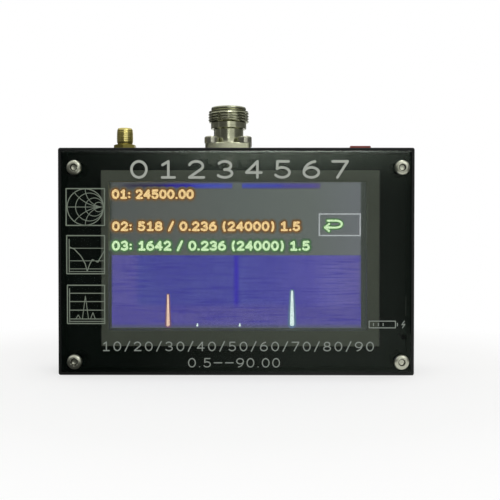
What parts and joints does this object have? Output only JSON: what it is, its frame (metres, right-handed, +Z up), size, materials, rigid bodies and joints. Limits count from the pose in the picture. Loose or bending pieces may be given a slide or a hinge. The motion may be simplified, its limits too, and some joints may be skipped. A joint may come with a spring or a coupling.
{
  "type": "antenna analyzer",
  "caption": "Hand-held antenna analyzer: shallow black aluminium case, smoked front panel over a colour touch screen, and a large coaxial socket, a small one and a red rocker switch on top.",
  "frame": {"origin": "under the middle of the case, on the surface that its lower long side stands on", "axes": "+X to the right as the screen is read, +Y from the screen to the back, +Z up to the coaxial sockets"},
  "size_m": [0.133, 0.0334, 0.1023],
  "materials": {
    "anodised_black": "fine-blasted, black anodised",
    "smoked_acrylic": "polished, smoked, see-through where the screen is",
    "nickel_steel": "nickel plated",
    "brass": "turned",
    "blackened_steel": "chemically blackened",
    "grey_foam": "closed-cell foam tape",
    "clear_glass": "polished",
    "lcd_glass": "polished",
    "white_plastic": "moulded",
    "stainless_sheet": "rolled sheet",
    "polyimide": "black coverlay film",
    "black_plastic": "moulded",
    "solder_mask": "satin solder mask",
    "chip_epoxy": "moulded epoxy",
    "tinned_steel": "tin plated",
    "tinned_brass": "tin plated",
    "gold_plate": "gold plated",
    "led_lens": "clear epoxy",
    "nickel_brass": "turned, nickel plated",
    "ptfe": "turned",
    "coax_jacket": "extruded FEP",
    "red_plastic": "moulded",
    "black_silicone": "extruded",
    "red_silicone": "extruded",
    "battery_foil": "laminated foil"
  },
  "bodies": {
    "case": {"battery_cell": "battery_foil", "battery_header": "white_plastic", "battery_lead_black": "black_silicone", "battery_lead_red": "red_silicone", "battery_plug": "white_plastic", "battery_tape": "grey_foam", "board_chips": "chip_epoxy", "card_socket": "tinned_steel", "case_frame": "anodised_black", "charge_led": "led_lens", "charge_socket": "tinned_steel", "data_socket": "tinned_steel", "flex_socket": "black_plastic", "front_panel": "smoked_acrylic", "front_screws": "nickel_steel", "header_pins": "gold_plate", "header_socket": "black_plastic", "header_strip": "black_plastic", "lcd_backlight": "white_plastic", "lcd_cell": "lcd_glass", "lcd_flex": "polyimide", "lcd_frame": "stainless_sheet", "lcd_gasket": "grey_foam", "lcd_pads": "grey_foam", "main_board": "solder_mask", "memory_card": "black_plastic", "n_body": "nickel_brass", "n_coax": "coax_jacket", "n_contact": "gold_plate", "n_insulator": "ptfe", "n_nuts": "nickel_steel", "n_screws": "nickel_steel", "panel_standoffs": "blackened_steel", "rear_cover": "anodised_black", "rear_screws": "nickel_steel", "reset_body": "black_plastic", "rf_board": "solder_mask", "rf_nuts": "nickel_steel", "rf_screws": "nickel_steel", "rf_shield": "tinned_steel", "rf_standoffs": "brass", "rocker_housing": "black_plastic", "rocker_terminals": "tinned_brass", "sma_body": "gold_plate", "sma_coax": "coax_jacket", "sma_contact": "gold_plate", "sma_insulator": "ptfe", "sma_nut": "gold_plate", "sma_washer": "gold_plate", "switch_leads": "black_silicone", "touch_glass": "clear_glass"},
    "rocker": {"rocker_button": "red_plastic"},
    "reset_key": {"reset_key": "black_plastic"}
  },
  "joints": [
    {"name": "power_rocker", "type": "hinge", "parent": "case", "child": "rocker", "pos_m": [0.0479, 0.0038, 0.084], "axis": [1, 0, 0], "range_deg": [0, 14]},
    {"name": "reset_press", "type": "slide", "parent": "case", "child": "reset_key", "axis": [0, -1, 0], "range_m": [0, 0.00025], "stiffness_N_per_m": 1500}
  ]
}
